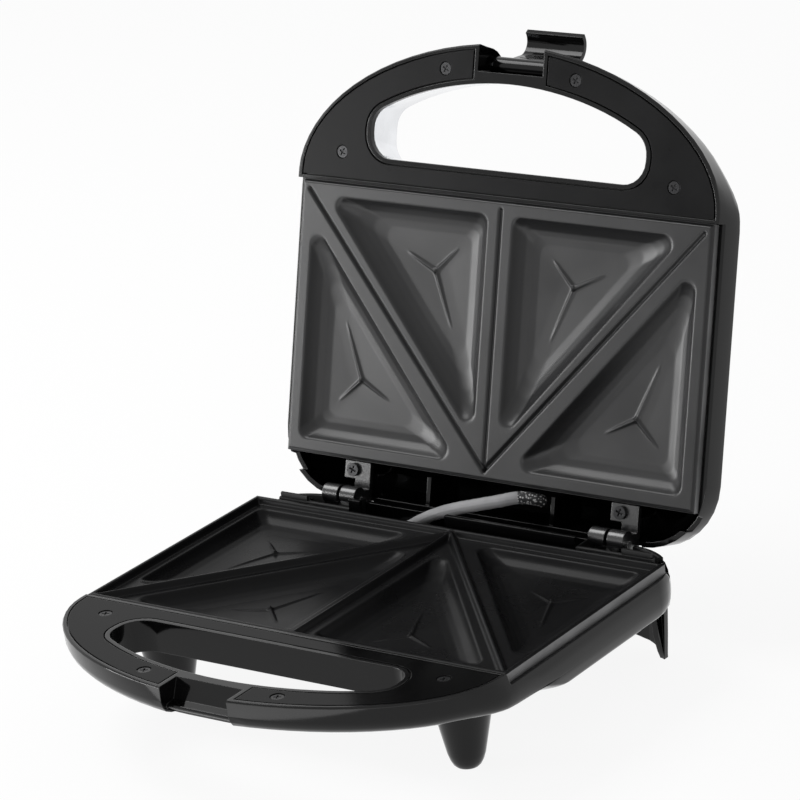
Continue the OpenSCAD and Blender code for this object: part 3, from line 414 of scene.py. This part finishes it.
def pockets_depth(x, y):
    x = np.abs(x)
    depth = np.zeros_like(x)
    for cell, crease in zip(cells, creases):
        depth += POCKET_DEPTH * np.interp(inset(x, y, cell) - LAND_W, fine_in, fine_z)
        hub = crease[0]
        for tip in crease[1:]:
            gap, along = line_gap(x, y, hub, tip)
            depth -= 0.75 * np.exp(-(gap / (0.75 - 0.4 * along)) ** 2) * (1 - along ** 3)
    return depth


ridge_lines = [((0, 122.4), (105.4, 2.6)), ((0, 122.4), (-105.4, 2.6)), ((0, 122.4), (0, 2.6))]


def border_gap(x, y):
    return np.minimum(HALF_W - np.abs(x), np.minimum(y, PLATE_D - y))


def lower_height(x, y):
    ridge = 1e3
    for a, b in ridge_lines:
        ridge = np.minimum(ridge, line_gap(x, y, a, b)[0])
    crest = 0.4 + 2.6 * step(0.25, 2.3, ridge)
    gap = border_gap(x, y)
    edge = 0.45 * (1 - step(0, 0.7, gap)) + 3.0 * step(1.9, 3.2, gap)
    post = 0.6 + 2.4 * step(1.3, 2.1, np.hypot(x, y - 120.4))
    return np.minimum(np.minimum(crest, edge), post) + pockets_depth(x, y)


def cast_plate(name, height, place, faces_finish, wall_finish):
    """Closed casting: a fine upper face, an edge wall, and a plain underside."""
    columns, rows = 433, 251
    x, y = np.meshgrid(np.linspace(-HALF_W, HALF_W, columns), np.linspace(0, PLATE_D, rows))
    z = height(x, y)
    top = np.stack((x, y, z), -1).reshape(-1, 3)
    index = np.arange(columns * rows).reshape(rows, columns)
    quads = [np.stack((index[:-1, :-1], index[:-1, 1:], index[1:, 1:], index[1:, :-1]),
                      -1).reshape(-1, 4)]
    loop = np.concatenate((index[0, :], index[1:, -1], index[-1, -2::-1], index[-2:0:-1, 0]))
    rim = top[loop]
    count = len(loop)
    points = [top]
    previous = loop
    total = len(top)
    walls = []
    for inward, level in ((0, SKIRT - 0.4), (0.4, SKIRT), (PLATE_T, SKIRT), (PLATE_T, LEDGE)):
        ring = rim.copy()
        ring[:, 0] = np.clip(ring[:, 0], inward - HALF_W, HALF_W - inward)
        ring[:, 1] = np.clip(ring[:, 1], inward, PLATE_D - inward)
        ring[:, 2] = level
        points.append(ring)
        current = total + np.arange(count)
        walls.append(np.stack((previous, current, np.roll(current, -1),
                               np.roll(previous, -1)), -1))
        previous = current
        total += count
    inner_w, inner_d = HALF_W - PLATE_T, PLATE_D - PLATE_T
    xs, ys = np.meshgrid(np.linspace(-inner_w, inner_w, 73), np.linspace(PLATE_T, inner_d, 43))
    under = np.maximum(height(xs, ys) + PLATE_T, LEDGE)
    points.append(np.stack((xs, ys, under), -1).reshape(-1, 3))
    index = total + np.arange(73 * 43).reshape(43, 73)
    quads.append(np.stack((index[:-1, :-1], index[1:, :-1], index[1:, 1:], index[:-1, 1:]),
                          -1).reshape(-1, 4))
    everything = np.concatenate([quads[0], *walls, quads[1]])
    mesh = bpy.data.meshes.new(name)
    mesh.from_pydata(np.concatenate(points).tolist(), [], everything.tolist())
    mesh.transform(to_metres @ place)
    if place.determinant() > 0:
        mesh.flip_normals()
    mesh.materials.append(faces_finish)
    mesh.materials.append(wall_finish)
    skins = np.zeros(len(everything), np.int32)
    skins[len(quads[0]):len(quads[0]) + sum(len(w) for w in walls)] = 1
    mesh.polygons.foreach_set("material_index", skins)
    mesh.polygons.foreach_set("use_smooth", np.ones(len(everything), bool))
    build = bmesh.new()
    build.from_mesh(mesh)
    for edge in build.edges:
        if len(edge.link_faces) == 2 and edge.link_faces[0].material_index != \
                edge.link_faces[1].material_index:
            edge.smooth = False
    build.to_mesh(mesh)
    build.free()
    piece = bpy.data.objects.new(name, mesh)
    scene.collection.objects.link(piece)
    return piece


# painted shade: the upper plate's coat made darker and barely reflecting because this plate faces up
coat_with_painted_shade = finish("nonstick_painted_shade", (0.004, 0.004, 0.0043), 0.3, level=0.08,
                    spread=0.05, grain=3200, bump=0.012, mottle=0.2)
cast_wall = finish("cast_edge", (0.17, 0.17, 0.172), 0.55, level=0.5, spread=0.1,
                   grain=1500, bump=0.12, mottle=0.3)
lower_plate = cast_plate("lower_plate_casting", lower_height, base_place, coat_with_painted_shade, cast_wall)
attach(lower_plate, "base")
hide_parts("base_plate")

# ---- Hinges -----------------------------------------------------------------
# Each hinge is a dark painted steel arm on the base and one on the lid, with
# rolled knuckles on a plain steel pin.

painted_steel = finish("painted_steel", (0.008, 0.008, 0.0085), 0.24, level=0.7, spread=0.08,
                       grain=1400, bump=0.03, edge=0.5)
for name, node, body in (("lower_hinge_arms", "base_hinge_arms", "base"),
                         ("upper_hinge_arms", "lid_hinge_arms", "lid")):
    smoothed(name, node, painted_steel, body)

paint(dark_steel, "hinge_pins")

# ---- Wire sleeve ------------------------------------------------------------
# Woven glass sleeve round the lid's wires, grey with use; it leaves the base
# behind the plate, crosses the hinge line and ends in a bound dark cuff.

route = np.array([(-50, 128, -17), (-44, 131.4, -14.8), (-37, 134.8, -11.2), (-30, 136.8, -7),
                  (-21.5, 138.6, -2.4), (-11, 140, 1.6), (1.7, 141.6, 5.1), (12.4, 143.5, 7.8),
                  (19.4, 146.2, 9.3), (23.5, 149, 8.9), (26.5, 152, 7.6), (28, 155.5, 5.6)])
SLEEVE_R = 2.8
SLEEVE_SIDES, SLEEVE_PARTS = 40, 14
CUFF_START = 8.2        # where the cuff begins, in stretches of the route


def eased(points, parts):
    """Smooth curve through the points."""
    out = []
    padded = np.vstack((2 * points[0] - points[1], points, 2 * points[-1] - points[-2]))
    for i in range(1, len(padded) - 2):
        p0, p1, p2, p3 = padded[i - 1:i + 3]
        for t in np.arange(parts) / parts:
            out.append(0.5 * (2 * p1 + (p2 - p0) * t + (2 * p0 - 5 * p1 + 4 * p2 - p3) * t * t
                              + (3 * p1 - p0 - 3 * p2 + p3) * t ** 3))
    return np.array(out + [points[-1]])


def woven_tube(name, line, radius, sides=SLEEVE_SIDES, strands=12, pitch=9.0, weave=0.09):
    """Tube whose skin rises and falls with the crossing strands of its braid."""
    steps = np.linalg.norm(np.diff(line, axis=0), axis=1)
    travel = np.concatenate(([0], np.cumsum(steps)))
    heading = np.gradient(line, axis=0)
    heading /= np.linalg.norm(heading, axis=1)[:, None]
    side = np.cross((0, 0, 1.0), heading)
    side /= np.linalg.norm(side, axis=1)[:, None]
    lift = np.cross(heading, side)
    around = np.arange(sides) * 2 * math.pi / sides
    verts = []
    for i, centre in enumerate(line):
        turn = travel[i] / pitch * 2 * math.pi
        woven = weave * np.sin(strands / 2 * (around + turn)) * np.sin(strands / 2 * (around - turn))
        end = min(travel[i], travel[-1] - travel[i])
        r = radius - 0.35 * max(0, 1 - end / 0.5) ** 2 + woven
        verts.append(centre + (r * np.cos(around))[:, None] * side[i]
                     + (r * np.sin(around))[:, None] * lift[i])
    verts = np.concatenate(verts)
    rows = len(line)
    index = np.arange(rows * sides).reshape(rows, sides)
    faces = np.stack((index[:-1], np.roll(index[:-1], -1, 1), np.roll(index[1:], -1, 1),
                      index[1:]), -1).reshape(-1, 4).tolist()
    faces.append(index[0][::-1].tolist())
    faces.append(index[-1].tolist())
    mesh = bpy.data.meshes.new(name)
    mesh.from_pydata((verts * 0.001).tolist(), [], faces)
    mesh.polygons.foreach_set("use_smooth", np.ones(len(faces), bool))
    piece = bpy.data.objects.new(name, mesh)
    scene.collection.objects.link(piece)
    return piece


glass_weave = finish("glass_weave", (0.21, 0.21, 0.215), 0.62, level=0.4, spread=0.1,
                     grain=2200, bump=0.05, mottle=0.3)
line = eased(route, SLEEVE_PARTS) + np.array((0, SHIFT, STAND))
sleeve = woven_tube("wire_sleeve_skin", line, SLEEVE_R)
sleeve.data.materials.append(glass_weave)
cuff = finish("bound_cuff", (0.02, 0.02, 0.021), 0.5, level=0.5, grain=900,
              bump=0.3, mottle=0.6)
tree = cuff.node_tree
specks = tree.nodes.new("ShaderNodeTexVoronoi")
specks.inputs["Scale"].default_value = 900
flecks = tree.nodes.new("ShaderNodeValToRGB")
flecks.color_ramp.elements[0].position = 0.3
flecks.color_ramp.elements[0].color = (0.5, 0.5, 0.5, 1)
flecks.color_ramp.elements[1].position = 0.42
flecks.color_ramp.elements[1].color = (0.012, 0.012, 0.013, 1)
seat = tree.nodes.new("ShaderNodeTexCoord")
wire(tree, seat.outputs["Object"], specks.inputs["Vector"])
wire(tree, specks.outputs["Distance"], flecks.inputs["Fac"])
wire(tree, flecks.outputs["Color"], tree.nodes["Principled BSDF"].inputs["Base Color"])
sleeve.data.materials.append(cuff)
for face in sleeve.data.polygons:
    if face.index >= SLEEVE_SIDES * SLEEVE_PARTS * CUFF_START:
        face.material_index = 1
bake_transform(sleeve)
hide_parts("wire_sleeve")

# ---- Upper housing ----------------------------------------------------------
# Moulding like the lower one, deeper, with a satin cover on its handle and a
# bright liner that dresses the finger slot's inner wall.

upper_shell = smoothed("upper_shell", "lid_housing", gloss_black, "lid")
satin_black = finish("satin_cover_plastic", (0.004, 0.004, 0.0042), 0.3, level=0.08,
                     spread=0.05, grain=2600, bump=0.012, edge=0.4)
upper_cover = smoothed("upper_cover", "lid_handle_cover", satin_black, "lid")
chrome = finish("chromed_liner", (0.82, 0.83, 0.85), 0.15, metal=1.0, spread=0.03,
                grain=500, bump=0.004, edge=0.3)
liner = smoothed("slot_liner", "lid_slot_liner", chrome, "lid", angle=60)

# ---- Upper cooking plate ----------------------------------------------------
# The same casting face down, under a charcoal coat: narrow grooves lie where
# the lower plate's ridges close on it, and a low flange steps round its edge.


def upper_height(x, y):
    land = pockets_depth(x, y)
    for (ax, ay), (bx, by) in (((0, 120.6), (103.6, 4.4)), ((0, 120.6), (-103.6, 4.4)),
                               ((0, 120.6), (0, 4.4))):
        gap = line_gap(x, y, (ax, ay), (bx, by))[0]
        land = land + 1.5 * (1 - step(0.15, 1.15, gap))
    gap = border_gap(x, y)
    return land + 1.4 * (1 - step(0.55, 1.25, gap))


charcoal_coat = finish("charcoal_nonstick", (0.013, 0.013, 0.0135), 0.33, level=0.29,
                       spread=0.04, grain=3000, bump=0.014, mottle=0.1)
upper_plate = cast_plate("upper_plate_casting", upper_height, lid_place, charcoal_coat, cast_wall)
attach(upper_plate, "lid")
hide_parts("lid_plate")

# ---- Lamps ------------------------------------------------------------------
# A red and a green lens, each over a neon lamp, on the top of the lid.

neon = finish("neon_glass", (0.75, 0.5, 0.35), 0.12, grain=400, bump=0.01)
paint(neon, "indicator_lamps")
red_lens = finish("red_lens", (0.5, 0.012, 0.016), 0.08, spread=0.02, grain=600,
                  bump=0.01, edge=0.2, coat=0.5)
paint(red_lens, "lamp_lens_power")
green_lens = finish("green_lens", (0.02, 0.33, 0.06), 0.08, spread=0.02, grain=600,
                    bump=0.01, edge=0.2, coat=0.5)
paint(green_lens, "lamp_lens_ready")

# ---- Latch ------------------------------------------------------------------
# Hooked clip moulded in gloss black; it turns on a steel pin in the lid's notch
# and snaps under the lower handle.

clip = smoothed("latch_hook", "latch_clip", gloss_black, "latch")
